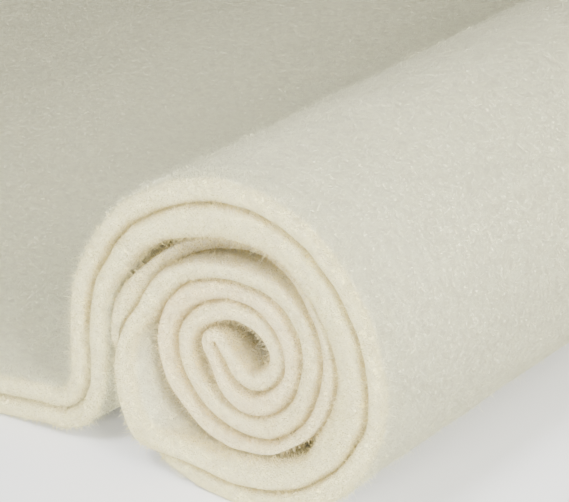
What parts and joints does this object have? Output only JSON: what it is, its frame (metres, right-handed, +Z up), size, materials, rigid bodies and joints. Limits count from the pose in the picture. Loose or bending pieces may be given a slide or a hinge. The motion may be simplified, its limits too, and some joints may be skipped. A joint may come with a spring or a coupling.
{
  "type": "sheet of wool felt",
  "caption": "Thick off-white wool felt sheet, folded double and rolled up from its fold, with the doubled tail lying flat beside the roll.",
  "frame": {"origin": "under the middle of the piece's bounding box, on the surface that it lies on", "axes": "+Y along the roll, away from the end that shows the turns; +X from the tail to the roll; +Z up"},
  "size_m": [0.1956, 0.3024, 0.0466],
  "materials": {
    "wool_felt": "matte undyed wool, softly napped, with fuzzy cut edges"
  },
  "bodies": {
    "root": {"felt_sheet": "wool_felt"}
  },
  "joints": []
}
